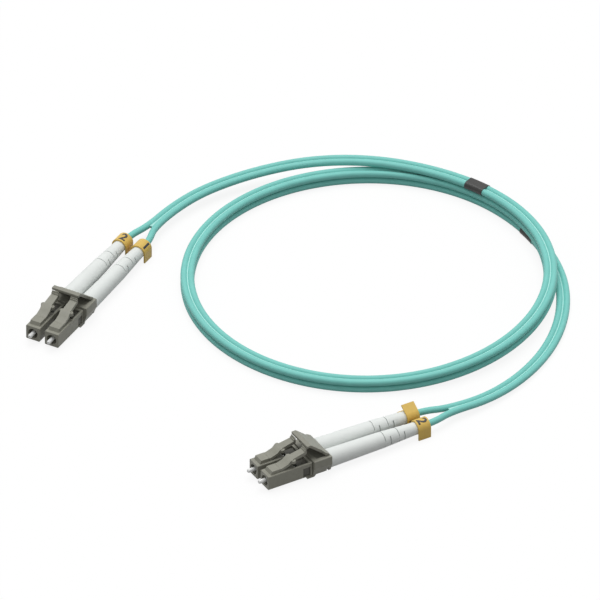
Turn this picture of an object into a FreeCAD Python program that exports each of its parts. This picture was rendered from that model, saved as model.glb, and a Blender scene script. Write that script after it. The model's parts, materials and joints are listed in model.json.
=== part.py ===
import FreeCAD, Part
import math
import os
import re

import Sketcher
from FreeCAD import Placement, Rotation, Vector

# A duplex fibre patch cord of about one metre, laid out as two turns and two leads.
# Millimetres. The floor is Z = 0, the origin lies midway between the two connectors.
# A connector is built in its own frame: X across the pair, Y back from the front face
# of the plugs, Z up from the fibre axis.

SIZES = {
    # Plug body
    "plug_pitch": 6.25,
    "plug_width": 4.53,
    "plug_height": 4.56,
    "plug_length": 16.4,
    "plug_edge_round": 0.25,
    "neck_start": 14.6,
    "neck_width": 3.96,
    "front_bore_radius": 1.55,
    "front_bore_depth": 2.6,
    "stop_wall": 0.6,
    "stop_hole_radius": 0.85,
    "spring_room_radius": 1.35,
    "part_gap": 0.05,
    "top_window_start": 9.06,
    "top_window_length": 4.74,
    "top_window_rim": 0.6,
    "side_window_start": 11.6,
    "side_window_length": 2.4,
    "side_window_height": 3.0,
    "side_window_drop": 0.48,
    # Latch lever and the block that it hinges on
    "latch_root_start": 1.1,
    "latch_width": 3.3,
    "latch_hinge_along": 4.6,
    "latch_hinge_radius": 0.5,
    "latch_gap": 0.05,
    "latch_thickness": 1.0,
    "latch_heel_run": 0.35,
    "latch_ramp_run": 2.0,
    "latch_ramp_rise": 0.7,
    "latch_riser_run": 1.0,
    "latch_riser_rise": 0.85,
    "latch_tail_run": 5.1,
    "latch_tail_rise": 1.08,
    "latch_lip_length": 0.35,
    "latch_lip_height": 0.85,
    "latch_step_length": 0.3,
    "latch_step_height": 0.38,
    "latch_tail_width": 2.6,
    "latch_tip_width": 2.3,
    "latch_lug_radius": 0.75,
    "latch_lug_width": 4.4,
    # Ferrule, its holder and spring
    "ferrule_radius": 0.625,
    "ferrule_tail_radius": 0.575,
    "ferrule_reach": 2.0,
    "ferrule_length": 6.5,
    "ferrule_chamfer": 0.15,
    "glass_radius": 0.0625,
    "glass_gap": 0.01,
    "glass_tail": 1.0,
    "holder_radius": 1.2,
    "holder_length": 2.2,
    "holder_sleeve_radius": 0.75,
    "holder_sleeve_length": 2.6,
    "spring_radius": 0.95,
    "spring_wire_radius": 0.13,
    "spring_turns": 6.0,
    # Rear body and crimp ring
    "rear_body_start": 10.4,
    "rear_body_width": 3.4,
    "rear_wall": 1.0,
    "rear_hole_radius": 0.8,
    "rear_bore_radius": 0.95,
    "shank_radius": 1.45,
    "shank_end": 24.0,
    "lug_height": 0.3,
    "lug_gap": 0.2,
    "ring_start": 18.0,
    "ring_gap": 0.1,
    "ring_wall": 0.25,
    "ring_barrel_end": 26.5,
    "ring_barrel_wall": 0.27,
    # Boot
    "boot_end": 53.7,
    "boot_front_radius": 2.78,
    "boot_front_chamfer": 0.2,
    "boot_waist_along": 39.0,
    "boot_waist_radius": 2.44,
    "boot_neck_along": 48.7,
    "boot_neck_radius": 1.95,
    "boot_end_radius": 1.9,
    "boot_room_gap": 0.06,
    "boot_bore_gap": 0.06,
    "boot_cone_length": 0.8,
    "slit_start": 39.2,
    "slit_pitch": 1.85,
    "slit_pair_pitch": 4.75,
    "slit_width": 0.3,
    "slit_arc": 120.0,
    "slit_floor_wall": 0.4,
    # Marker clip
    "marker_start": 50.2,
    "marker_length": 4.1,
    "marker_wall": 0.48,
    "marker_gap": 0.07,
    "marker_floor_gap": 0.03,
    # Duplex clip
    "clip_start": 14.76,
    "clip_end": 20.7,
    "clip_width": 12.7,
    "clip_foot_width": 10.9,
    "clip_taper_height": 2.5,
    "clip_rail_height": 0.54,
    "clip_edge_round": 0.3,
    "clip_recess_width": 10.2,
    "clip_recess_start": 16.2,
    "lip_start": 12.5,
    "lip_slope": 0.5,
    "lip_drop": 0.75,
    "lip_width": 10.7,
    "notch_start": 19.3,
    "notch_length": 0.6,
    "notch_height": 1.2,
    # Trigger
    "trigger_hinge_along": 19.9,
    "trigger_hinge_radius": 0.5,
    "trigger_reach": 6.5,
    "trigger_rise": 4.83,
    "trigger_bar_depth": 1.4,
    "trigger_bar_height": 0.64,
    "trigger_knee_along": 1.0,
    "trigger_knee_up": 1.44,
    "trigger_tail_along": 0.5,
    "trigger_tail_up": 0.45,
    "trigger_plate_back": 0.54,
    "trigger_plate_drop": 0.66,
    "trigger_width": 8.92,
    "trigger_shoulder_width": 10.78,
    "trigger_shoulder_run": 1.0,
    # Cord
    "jacket_radius": 1.0,
    "jacket_bore_radius": 0.72,
    "jacket_start": 24.6,
    "yarn_radius": 0.7,
    "yarn_bore_radius": 0.5,
    "yarn_start": 22.0,
    "fibre_radius": 0.45,
    "fibre_start": 7.0,
    "leg_pitch": 2.06,
    "split_along": 57.0,
    "band_length": 6.5,
    "band_wall": 0.1,
    "band_gap": 0.03,
    "band_one_on": 0.8,
    # Where the coil and the two connectors lie
    "coil_across": -0.3,
    "coil_along": 64.7,
    "coil_radius": 52.84,
    "coil_lift_end": 45.0,
    "coil_drop_end": 150.0,
    "end_a_across": -46.1,
    "end_a_along": -23.6,
    "end_a_turn": 15.5,
    "end_b_across": 47.0,
    "end_b_along": -27.6,
    "end_b_turn": -14.5,
}

COIL_TURNS = 2
POINTS_PER_TURN = 20
ARC_SHARE = 0.45

# The centre line of the leads where they lie as a pair: across, along and up
LEAD_A = [
    (-63.0, 37.5, 3.03),
    (-65.2, 49.5, 3.15),
    (-65.0, 62.0, 3.45),
    (-60.4, 77.6, 4.1),
    (-51.8, 92.2, 5.2),
    (-39.8, 104.3, 5.5),
    (-25.0, 112.8, 5.45),
]
LEAD_B = [
    (24.4, 113.1, 1.13),
    (39.3, 104.9, 1.13),
    (51.5, 92.8, 1.15),
    (60.3, 78.2, 1.2),
    (65.0, 62.5, 1.35),
    (65.9, 47.2, 1.9),
    (62.9, 33.9, 2.75),
]

# Side of the connector, +1 towards +X, and the number of the channel there
CHANNELS = {
    "a": {1: 1, -1: 2},
    "b": {1: 2, -1: 1},
}
# How far each marker clip is turned about its boot, where it doesn't hang straight
MARKER_TURNS = {"marker_clip_b_1": 120.0}

doc = FreeCAD.newDocument("patch_cord")
sheet = doc.addObject("Spreadsheet::Sheet", "size")
NAMES = re.compile(r"\b(%s)\b" % "|".join(SIZES))
subparts = []


def fill_sheet():
    for row, (alias, value) in enumerate(SIZES.items(), start=1):
        cell = "B%d" % row
        sheet.set(cell, str(value))
        sheet.setAlias(cell, alias)
    doc.recompute()


def size(alias):
    return float(sheet.get(alias))


def bound(text):
    """The expression text with every size led back to the sheet."""
    return NAMES.sub(r"size.\1", text)


def new_body(label):
    body = doc.addObject("PartDesign::Body", label)
    body.Label = label
    subparts.append(body)
    return body


def fix_coordinate(flat, kind, axis, geometry, point, text):
    """Hold one coordinate of a sketch point at an expression."""
    if text == "0":
        flat.addConstraint(Sketcher.Constraint("PointOnObject", geometry, point, axis))
        return
    index = flat.addConstraint(Sketcher.Constraint(kind, -1, 1, geometry, point, 1.0))
    flat.setExpression("Constraints[%d]" % index, bound(text))


def fix_point(flat, geometry, point, across, up):
    fix_coordinate(flat, "DistanceX", -2, geometry, point, across)
    fix_coordinate(flat, "DistanceY", -1, geometry, point, up)


def new_sketch(body, name, role, shift="0"):
    """A sketch on an origin plane of the body, moved along the plane's normal."""
    flat = body.newObject("Sketcher::SketchObject", "%s_%s" % (body.Label, name))
    plane = [item for item in body.Origin.OriginFeatures if item.Role == role][0]
    flat.AttachmentSupport = (plane, [""])
    flat.MapMode = "FlatFace"
    flat.setExpression("AttachmentOffset.Base.z", bound(shift))
    return flat


def add_outline(flat, points):
    """A closed outline through points whose coordinates are expressions."""
    first = flat.GeometryCount
    count = len(points)
    ring = [Vector(math.cos(2 * math.pi * k / count), math.sin(2 * math.pi * k / count), 0)
            for k in range(count)]
    for k in range(count):
        flat.addGeometry(Part.LineSegment(ring[k], ring[(k + 1) % count]), False)
    for k in range(count):
        after = first + (k + 1) % count
        flat.addConstraint(Sketcher.Constraint("Coincident", first + k, 2, after, 1))
    for k, (across, up) in enumerate(points):
        fix_point(flat, first + k, 1, across, up)


def add_box(flat, left, right, low, high):
    add_outline(flat, [(left, low), (right, low), (right, high), (left, high)])


def add_circle(flat, across, up, radius):
    index = flat.addGeometry(Part.Circle(Vector(1, 1, 0), Vector(0, 0, 1), 1.0), False)
    fix_point(flat, index, 3, across, up)
    rule = flat.addConstraint(Sketcher.Constraint("Radius", index, 1.0))
    flat.setExpression("Constraints[%d]" % rule, bound(radius))


def add_feature(body, flat, kind, name):
    feature = body.newObject("PartDesign::" + kind, "%s_%s" % (body.Label, name))
    feature.Profile = flat
    flat.Visibility = False
    return feature


def extrude(body, flat, name, length, kind="Pad", both=False, against=False):
    """Pad or pocket a sketch by an expression, or a pocket right through with none."""
    feature = add_feature(body, flat, kind, name)
    if length:
        feature.setExpression("Length", bound(length))
    else:
        feature.Type = "ThroughAll"
    if both:
        feature.SideType = "Symmetric"
    feature.Reversed = against
    return feature


def turn_profile(body, name, points, kind="Revolution", role="YZ_Plane", arc=None):
    """Turn a profile of (along, radius) points about the Y axis."""
    flat = new_sketch(body, name + "_profile", role)
    if role == "YZ_Plane":
        add_outline(flat, points)
        axis = "H_Axis"
    else:
        add_outline(flat, [(radius, along) for along, radius in points])
        axis = "V_Axis"
    feature = add_feature(body, flat, kind, name)
    feature.ReferenceAxis = (flat, [axis])
    if arc:
        feature.setExpression("Angle", bound(arc))
        feature.Midplane = True
    else:
        feature.Angle = 360.0
    return feature


def dress_edges(body, base, name, kind, amount, wanted):
    """A fillet or chamfer on the edges of base that pass the test."""
    doc.recompute()
    names = ["Edge%d" % (k + 1) for k, edge in enumerate(base.Shape.Edges) if wanted(edge)]
    feature = body.newObject("PartDesign::" + kind, "%s_%s" % (body.Label, name))
    feature.Base = (base, names)
    feature.setExpression("Radius" if kind == "Fillet" else "Size", bound(amount))
    return feature


def runs_along(edge, direction):
    step = edge.Vertexes[-1].Point - edge.Vertexes[0].Point
    return step.Length > 0 and abs(step.dot(direction)) > 0.999 * step.Length


# Heights above the fibre axis, and lengths, that several pieces share
PLUG_TOP = "plug_height / 2"
PLUG_BOTTOM = "-plug_height / 2"
LATCH_HINGE_UP = "plug_height / 2 + latch_gap + latch_hinge_radius"
TRIGGER_HINGE_UP = "plug_height / 2 + latch_gap + trigger_hinge_radius"
STOP = "front_bore_depth + stop_wall"
HOLDER_END = STOP + " + holder_length"
FERRULE_TAIL = "ferrule_length - ferrule_reach"
FERRULE_AT_STOP = ("ferrule_radius - (ferrule_radius - ferrule_tail_radius) * stop_wall"
                   " / (%s - front_bore_depth)" % FERRULE_TAIL)
CAVITY_HALF = "rear_body_width / 2 + part_gap"
RING_BORE = "shank_radius + ring_gap"
RING_RADIUS = RING_BORE + " + ring_wall"


def make_plug_housing(label):
    """The square plug body: front bore, spring room, rear cavity, windows and latch root."""
    body = new_body(label)
    flat = new_sketch(body, "front", "XZ_Plane")
    add_box(flat, "-plug_width / 2", "plug_width / 2", PLUG_BOTTOM, PLUG_TOP)
    block = extrude(body, flat, "block", "neck_start", against=True)
    along = Vector(0, 1, 0)
    dress_edges(body, block, "edges", "Fillet", "plug_edge_round",
                lambda edge: runs_along(edge, along))
    flat = new_sketch(body, "neck_section", "XZ_Plane", "-neck_start")
    add_box(flat, "-neck_width / 2", "neck_width / 2", "-neck_width / 2", "neck_width / 2")
    extrude(body, flat, "neck", "plug_length - neck_start", against=True)
    flat = new_sketch(body, "root_side", "YZ_Plane")
    root_top = LATCH_HINGE_UP + " + latch_hinge_radius"
    add_outline(flat, [
        ("latch_root_start", PLUG_TOP + " - plug_edge_round"),
        ("latch_hinge_along", PLUG_TOP + " - plug_edge_round"),
        ("latch_hinge_along", root_top),
        ("latch_root_start + latch_hinge_radius", root_top),
        ("latch_root_start", PLUG_TOP),
    ])
    extrude(body, flat, "root", "latch_width", both=True)
    flat = new_sketch(body, "seat_side", "YZ_Plane")
    add_circle(flat, "latch_hinge_along", LATCH_HINGE_UP, "latch_hinge_radius + latch_gap")
    extrude(body, flat, "seat", "latch_width + plug_width", "Pocket", both=True)
    turn_profile(body, "bores", [
        ("0", "0"),
        ("0", "front_bore_radius"),
        ("front_bore_depth", "front_bore_radius"),
        ("front_bore_depth", "stop_hole_radius"),
        (STOP, "stop_hole_radius"),
        (STOP, "spring_room_radius"),
        ("rear_body_start", "spring_room_radius"),
        ("rear_body_start", "0"),
    ], kind="Groove")
    flat = new_sketch(body, "cavity_section", "XZ_Plane", "-rear_body_start")
    add_box(flat, "-(%s)" % CAVITY_HALF, CAVITY_HALF, "-(%s)" % CAVITY_HALF, CAVITY_HALF)
    extrude(body, flat, "cavity", None, "Pocket")
    flat = new_sketch(body, "top_window_plan", "XY_Plane")
    half = "plug_width / 2 - top_window_rim"
    add_box(flat, "-(%s)" % half, half, "top_window_start",
            "top_window_start + top_window_length")
    extrude(body, flat, "top_window", "plug_height", "Pocket", against=True)
    flat = new_sketch(body, "side_window_side", "YZ_Plane")
    add_box(flat, "side_window_start", "side_window_start + side_window_length",
            "-side_window_drop - side_window_height / 2",
            "-side_window_drop + side_window_height / 2")
    extrude(body, flat, "side_window", None, "Pocket", both=True)
    return body


def make_latch_lever(label):
    """The latch lever: knuckle, ramp, riser, two lugs and a tail with a stepped lip."""
    body = new_body(label)

    def spot(along, up):
        return ("latch_hinge_along + " + along, LATCH_HINGE_UP + " + " + up)

    riser = "latch_heel_run + latch_ramp_run"
    riser_up = "latch_hinge_radius + latch_ramp_rise"
    crown = riser + " + latch_riser_run"
    crown_up = riser_up + " + latch_riser_rise"
    tail = crown + " + latch_tail_run"
    tail_up = crown_up + " + latch_tail_rise"
    flat = new_sketch(body, "side", "YZ_Plane")
    add_outline(flat, [
        spot("0", "latch_hinge_radius"),
        spot("latch_heel_run", "latch_hinge_radius"),
        spot(riser, riser_up),
        spot(crown, crown_up),
        spot(tail + " - latch_step_length", tail_up + " - 0.06"),
        spot(tail + " - latch_step_length", tail_up + " + latch_step_height"),
        spot(tail, tail_up + " + latch_step_height"),
        spot(tail, tail_up + " + latch_lip_height"),
        spot(tail + " + latch_lip_length", tail_up + " + latch_lip_height"),
        spot(tail + " + latch_lip_length", tail_up + " - latch_thickness"),
        spot(crown + " + 0.3", crown_up + " - latch_thickness"),
        spot(riser + " + 0.3", riser_up + " - 0.9 * latch_thickness"),
        spot("latch_heel_run + 0.4", "latch_hinge_radius - 0.8 * latch_thickness"),
        spot("0", "-latch_hinge_radius"),
    ])
    extrude(body, flat, "arm", "latch_width", both=True)
    flat = new_sketch(body, "knuckle_side", "YZ_Plane")
    add_circle(flat, "latch_hinge_along", LATCH_HINGE_UP, "latch_hinge_radius")
    extrude(body, flat, "knuckle", "latch_width", both=True)
    lug_along = "latch_hinge_along + %s + latch_lug_radius" % crown
    flat = new_sketch(body, "tail_plan", "XY_Plane")
    for side in ("", "-"):
        add_outline(flat, [
            (side + "latch_tail_width / 2", lug_along),
            (side + "latch_width", lug_along),
            (side + "latch_width", "latch_hinge_along + %s + latch_thickness" % tail),
            (side + "latch_tip_width / 2", "latch_hinge_along + %s + latch_thickness" % tail),
        ])
    extrude(body, flat, "tail_sides", None, "Pocket", both=True)
    flat = new_sketch(body, "lug_plan", "XY_Plane",
                      LATCH_HINGE_UP + " + " + crown_up + " - 1.1 * latch_thickness")
    for side in ("", "-"):
        add_circle(flat, side + "(latch_lug_width / 2 - latch_lug_radius)", lug_along,
                   "latch_lug_radius")
    extrude(body, flat, "lugs", "latch_thickness")
    return body


def make_ferrule(label):
    """The ceramic ferrule: chamfered tip, fine bore, and a tail that tapers in its seat."""
    body = new_body(label)
    turn_profile(body, "pin", [
        ("-ferrule_reach", "glass_radius + glass_gap"),
        ("-ferrule_reach", "ferrule_radius - ferrule_chamfer"),
        ("-ferrule_reach + 2 * ferrule_chamfer", "ferrule_radius"),
        ("front_bore_depth", "ferrule_radius"),
        (FERRULE_TAIL, "ferrule_tail_radius"),
        (FERRULE_TAIL, "glass_radius + glass_gap"),
    ])
    return body


def make_glass_fibre(label):
    """The stripped end of the fibre, bonded in the ferrule."""
    body = new_body(label)
    flat = new_sketch(body, "section", "XZ_Plane", "ferrule_reach")
    add_circle(flat, "0", "0", "glass_radius")
    extrude(body, flat, "rod", "ferrule_length + glass_tail", against=True)
    return body


def make_ferrule_holder(label):
    """The metal flange that holds the ferrule and guides the spring."""
    body = new_body(label)
    sleeve = HOLDER_END + " + holder_sleeve_length"
    bore = "fibre_radius + part_gap"
    turn_profile(body, "barrel", [
        (STOP, FERRULE_AT_STOP + " + glass_gap"),
        (STOP, "holder_radius"),
        (HOLDER_END, "holder_radius"),
        (HOLDER_END, "holder_sleeve_radius"),
        (sleeve, "holder_sleeve_radius"),
        (sleeve, bore),
        (FERRULE_TAIL + " + glass_gap", bore),
        (FERRULE_TAIL + " + glass_gap", "ferrule_tail_radius + glass_gap"),
    ])
    return body


def make_spring(label):
    """The coil spring between the holder and the rear body."""
    start = size("front_bore_depth") + size("stop_wall") + size("holder_length")
    wire = size("spring_wire_radius")
    inset = wire + size("glass_gap")
    height = size("rear_body_start") - start - 2 * inset
    helix = Part.makeHelix(height / size("spring_turns"), height, size("spring_radius"))
    circle = Part.Circle(Vector(size("spring_radius"), 0, 0), Vector(0, 1, 0), wire)
    coil = Part.Wire(helix.Edges).makePipeShell([Part.Wire(circle.toShape())], True, True)
    piece = doc.addObject("Part::Feature", label)
    piece.Label = label
    coil.Placement = Placement(Vector(0, start + inset, 0), Rotation(Vector(1, 0, 0), -90))
    piece.Shape = Part.Compound([coil]) if coil.ShapeType != "Solid" else coil
    subparts.append(piece)
    return piece


def make_rear_body(label):
    """The rear body: spring stop, square part with snap lugs, and a shank for the ring."""
    body = new_body(label)
    flat = new_sketch(body, "section", "XZ_Plane", "-rear_body_start")
    add_box(flat, "-rear_body_width / 2", "rear_body_width / 2",
            "-rear_body_width / 2", "rear_body_width / 2")
    extrude(body, flat, "block", "plug_length - rear_body_start", against=True)
    flat = new_sketch(body, "lug_side", "YZ_Plane")
    add_box(flat, "side_window_start + lug_gap",
            "side_window_start + side_window_length - lug_gap",
            "-rear_body_width / 2",
            "-side_window_drop + side_window_height / 2 - lug_gap")
    extrude(body, flat, "lugs", "rear_body_width + 2 * lug_height", both=True)
    turn_profile(body, "shank", [
        ("plug_length - rear_wall", "0"),
        ("plug_length - rear_wall", "shank_radius"),
        ("shank_end", "shank_radius"),
        ("shank_end", "0"),
    ])
    turn_profile(body, "bore", [
        ("rear_body_start", "0"),
        ("rear_body_start", "rear_hole_radius"),
        ("rear_body_start + rear_wall", "rear_hole_radius"),
        ("rear_body_start + rear_wall", "rear_bore_radius"),
        ("shank_end", "rear_bore_radius"),
        ("shank_end", "0"),
    ], kind="Groove")
    return body


def make_crimp_ring(label):
    """The crimp ring, wide over the shank and narrow over the jacket."""
    body = new_body(label)
    barrel = "jacket_radius + glass_gap"
    turn_profile(body, "ring", [
        ("ring_start", RING_BORE),
        ("ring_start", RING_RADIUS),
        ("shank_end", RING_RADIUS),
        ("shank_end + ring_wall", barrel + " + ring_barrel_wall"),
        ("ring_barrel_end", barrel + " + ring_barrel_wall"),
        ("ring_barrel_end", barrel),
        ("shank_end + ring_gap", barrel),
        ("shank_end + ring_gap", RING_BORE),
    ])
    return body


def make_boot(label):
    """The tapered boot, with two pairs of slits, each slit a quarter turn from the next."""
    body = new_body(label)
    start = "clip_end + part_gap"
    room = RING_RADIUS + " + boot_room_gap"
    bore = "jacket_radius + boot_bore_gap"
    turn_profile(body, "cone", [
        (start, room),
        (start, "boot_front_radius - boot_front_chamfer"),
        (start + " + boot_front_chamfer", "boot_front_radius"),
        ("boot_waist_along", "boot_waist_radius"),
        ("boot_neck_along", "boot_neck_radius"),
        ("marker_start - part_gap", "boot_end_radius"),
        ("boot_end", "boot_end_radius"),
        ("boot_end", bore),
        ("ring_barrel_end + boot_cone_length", bore),
        ("ring_barrel_end + part_gap", room),
    ])
    inner = "(%s + slit_floor_wall)" % bore
    for first, role in ((0, "YZ_Plane"), (1, "XY_Plane")):
        for side in ("", "-"):
            for step in (first, first + 2):
                middle = "slit_start + %d * slit_pair_pitch + %d * slit_pitch" % divmod(step, 2)
                near = middle + " - slit_width / 2"
                far = middle + " + slit_width / 2"
                name = "slit_%d%s" % (step + 1, "_back" if side else "")
                turn_profile(body, name, [
                    (near, side + inner),
                    (far, side + inner),
                    (far, side + "boot_front_radius"),
                    (near, side + "boot_front_radius"),
                ], kind="Groove", role=role, arc="slit_arc")
    return body


def make_marker_clip(label):
    """The number clip: a ring open below, with two straight legs."""
    body = new_body(label)
    inner = "boot_end_radius + marker_gap"
    outer = inner + " + marker_wall"
    foot = "-(plug_height / 2 + lip_drop - marker_floor_gap)"
    for name, kind, reach, low in (("skin", "Pad", outer, foot), ("hollow", "Pocket", inner, foot)):
        flat = new_sketch(body, name + "_circle", "XZ_Plane", "-marker_start")
        add_circle(flat, "0", "0", reach)
        extrude(body, flat, name + "_ring", "marker_length", kind, against=kind == "Pad")
        flat = new_sketch(body, name + "_box", "XZ_Plane", "-marker_start")
        add_box(flat, "-(%s)" % reach, reach, low, "0")
        extrude(body, flat, name + "_legs", "marker_length", kind, against=kind == "Pad")
    return body


def make_duplex_clip(label):
    """The clip that joins the two plugs: block, front lip, rails, bores and notches."""
    body = new_body(label)
    flat = new_sketch(body, "section", "XZ_Plane", "-clip_start")
    add_outline(flat, [
        ("-clip_foot_width / 2", PLUG_BOTTOM),
        ("clip_foot_width / 2", PLUG_BOTTOM),
        ("clip_width / 2", PLUG_BOTTOM + " + clip_taper_height"),
        ("clip_width / 2", PLUG_TOP + " + clip_rail_height"),
        ("-clip_width / 2", PLUG_TOP + " + clip_rail_height"),
        ("-clip_width / 2", PLUG_BOTTOM + " + clip_taper_height"),
    ])
    block = extrude(body, flat, "block", "clip_end - clip_start", against=True)
    along = Vector(0, 1, 0)
    dress_edges(body, block, "edges", "Fillet", "clip_edge_round",
                lambda edge: runs_along(edge, along) and edge.CenterOfMass.z > 0)
    flat = new_sketch(body, "lip_side", "YZ_Plane")
    add_outline(flat, [
        ("lip_start", PLUG_BOTTOM + " - latch_gap"),
        ("lip_start + lip_slope", PLUG_BOTTOM + " - lip_drop"),
        ("clip_start + lip_slope", PLUG_BOTTOM + " - lip_drop"),
        ("clip_start + lip_slope + lip_drop", PLUG_BOTTOM),
        ("clip_start + lip_slope + lip_drop", PLUG_BOTTOM + " + latch_gap"),
        ("clip_start", PLUG_BOTTOM + " + latch_gap"),
        ("clip_start", PLUG_BOTTOM + " - latch_gap"),
    ])
    extrude(body, flat, "lip", "lip_width", both=True)
    flat = new_sketch(body, "neck_rooms", "XZ_Plane", "-clip_start")
    half = "(neck_width / 2 + part_gap)"
    for side in ("", "-"):
        middle = side + "plug_pitch / 2"
        add_box(flat, "%s - %s" % (middle, half), "%s + %s" % (middle, half),
                "-" + half, half)
    extrude(body, flat, "necks", "plug_length + part_gap - clip_start", "Pocket")
    flat = new_sketch(body, "ring_rooms", "XZ_Plane", "-clip_start")
    for side in ("", "-"):
        add_circle(flat, side + "plug_pitch / 2", "0", RING_RADIUS + " + ring_gap")
    extrude(body, flat, "rings", None, "Pocket")
    flat = new_sketch(body, "recess_plan", "XY_Plane", PLUG_TOP)
    add_box(flat, "-clip_recess_width / 2", "clip_recess_width / 2",
            "clip_recess_start", "clip_end + part_gap")
    extrude(body, flat, "recess", "plug_height", "Pocket", against=True)
    flat = new_sketch(body, "notch_side", "YZ_Plane")
    add_box(flat, "notch_start", "notch_start + notch_length",
            PLUG_BOTTOM + " - lip_drop", PLUG_BOTTOM + " + notch_height")
    extrude(body, flat, "notch", None, "Pocket", both=True)
    return body


def make_trigger(label):
    """The trigger: a bar over both latch levers, on a sloping plate with a hinge barrel."""
    body = new_body(label)

    def spot(along, up):
        return ("trigger_hinge_along + " + along, TRIGGER_HINGE_UP + " + " + up)

    bar_back = "(trigger_bar_depth - trigger_reach)"
    flat = new_sketch(body, "side", "YZ_Plane")
    add_outline(flat, [
        spot("(-trigger_reach)", "trigger_rise - trigger_bar_height"),
        spot("(-trigger_reach)", "trigger_rise"),
        spot(bar_back, "trigger_rise"),
        spot("(-trigger_knee_along)", "trigger_knee_up"),
        spot("trigger_tail_along", "trigger_tail_up"),
        spot("trigger_tail_along", "0"),
        spot("0", "(-trigger_hinge_radius / 2)"),
        spot("(-trigger_tail_along)", "0"),
        spot("(-trigger_knee_along - trigger_plate_back)", "trigger_knee_up - trigger_plate_drop"),
        spot(bar_back + " - trigger_plate_back", "trigger_rise - trigger_plate_drop"),
    ])
    extrude(body, flat, "plate", "trigger_shoulder_width", both=True)
    flat = new_sketch(body, "barrel_side", "YZ_Plane")
    add_circle(flat, "trigger_hinge_along", TRIGGER_HINGE_UP, "trigger_hinge_radius")
    extrude(body, flat, "barrel", "clip_recess_width - 2 * part_gap", both=True)
    flat = new_sketch(body, "side_plan", "XY_Plane")
    for side in ("", "-"):
        add_outline(flat, [
            (side + "trigger_width / 2", "trigger_hinge_along - trigger_reach - 1"),
            (side + "trigger_shoulder_width", "trigger_hinge_along - trigger_reach - 1"),
            (side + "trigger_shoulder_width", "trigger_hinge_along - trigger_shoulder_run"),
            (side + "trigger_shoulder_width / 2", "trigger_hinge_along - trigger_shoulder_run"),
            (side + "trigger_width / 2", "trigger_hinge_along - 1.6 * trigger_shoulder_run"),
        ])
    extrude(body, flat, "sides", None, "Pocket", both=True)
    for side, place in (("", "clip_recess_width / 2 - part_gap"),
                        ("_far", "-clip_width / 2")):
        flat = new_sketch(body, "foot_side" + side, "YZ_Plane", place)
        add_box(flat, "trigger_hinge_along - trigger_reach / 2",
                "trigger_hinge_along + trigger_tail_along + part_gap",
                TRIGGER_HINGE_UP + " - trigger_hinge_radius - part_gap",
                PLUG_TOP + " + clip_rail_height + part_gap")
        extrude(body, flat, "foot" + side, "clip_width / 2 - clip_recess_width / 2 + part_gap",
                "Pocket", against=True)
    return body


def end_place(end):
    """The placement of a connector on the floor."""
    height = size("plug_height") / 2 + size("lip_drop")
    spot = Vector(size("end_%s_across" % end), size("end_%s_along" % end), height)
    return Placement(spot, Rotation(Vector(0, 0, 1), size("end_%s_turn" % end)))


def make_connector(end):
    whole = end_place(end)
    for kind, maker in (("duplex_clip", make_duplex_clip), ("trigger", make_trigger)):
        maker("%s_%s" % (kind, end)).Placement = whole
    makers = (
        ("plug_housing", make_plug_housing),
        ("latch_lever", make_latch_lever),
        ("ferrule", make_ferrule),
        ("glass_fibre", make_glass_fibre),
        ("ferrule_holder", make_ferrule_holder),
        ("ferrule_spring", make_spring),
        ("rear_body", make_rear_body),
        ("crimp_ring", make_crimp_ring),
        ("boot", make_boot),
        ("marker_clip", make_marker_clip),
    )
    for side, number in CHANNELS[end].items():
        place = whole * Placement(Vector(side * size("plug_pitch") / 2, 0, 0), Rotation())
        for kind, maker in makers:
            label = "%s_%s_%d" % (kind, end, number)
            piece = maker(label)
            turn = Placement(Vector(), Rotation(Vector(0, 1, 0), MARKER_TURNS.get(label, 0.0)))
            piece.Placement = place * turn * piece.Placement


def band_reach():
    return size("band_wall") + size("band_gap")


def coil_height(travel):
    """Height of the cord after so many degrees of travel: each turn steps down one level."""
    low = size("jacket_radius") + band_reach()
    level = 2 * size("jacket_radius") + band_reach() + size("glass_gap")
    height = low + COIL_TURNS * level
    for turn in range(COIL_TURNS):
        share = (travel - 360.0 * turn - size("coil_lift_end"))
        share /= size("coil_drop_end") - size("coil_lift_end")
        share = min(max(share, 0.0), 1.0)
        height -= level * (1 - math.cos(math.pi * share)) / 2
    return height


def coil_points():
    """Corners of the coil's polygon; it starts and ends half a step round from the back."""
    step = 360.0 / POINTS_PER_TURN
    corner_radius = size("coil_radius") / math.cos(math.radians(step / 2))
    points = []
    for k in range(COIL_TURNS * POINTS_PER_TURN + 2):
        travel = (k - 0.5) * step
        angle = math.radians(90.0 - travel)
        points.append(Vector(size("coil_across") + corner_radius * math.cos(angle),
                             size("coil_along") + corner_radius * math.sin(angle),
                             coil_height(travel)))
    return points


def pair_points():
    """Corners of the route midway between the legs, and where the coil's corners begin
    and end among them."""
    split = Vector(0, size("split_along"), 0)
    points = [end_place("a").multVec(split)]
    points += [Vector(*point) for point in LEAD_A]
    first = len(points)
    points += coil_points()
    last = len(points) - 1
    points += [Vector(*point) for point in LEAD_B]
    points.append(end_place("b").multVec(split))
    return points, first, last


def leg_points(side, start):
    """Corners of one leg's route, from inside boot A to inside boot B."""
    pitch = size("plug_pitch") / 2
    split = size("split_along")
    middle = pair_points()[0]
    place = end_place("a")
    points = [place.multVec(Vector(side * pitch, along, 0)) for along in (start, split)]
    for before, corner, after in zip(middle, middle[1:], middle[2:]):
        into = corner - before
        out = after - corner
        into.z = out.z = 0
        normal = into.normalize() + out.normalize()
        offset = side * size("leg_pitch") / normal.Length
        normal.normalize()
        points.append(corner + Vector(normal.y, -normal.x, 0) * offset)
    place = end_place("b")
    points += [place.multVec(Vector(-side * pitch, along, 0)) for along in (split, start)]
    return points


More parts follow.
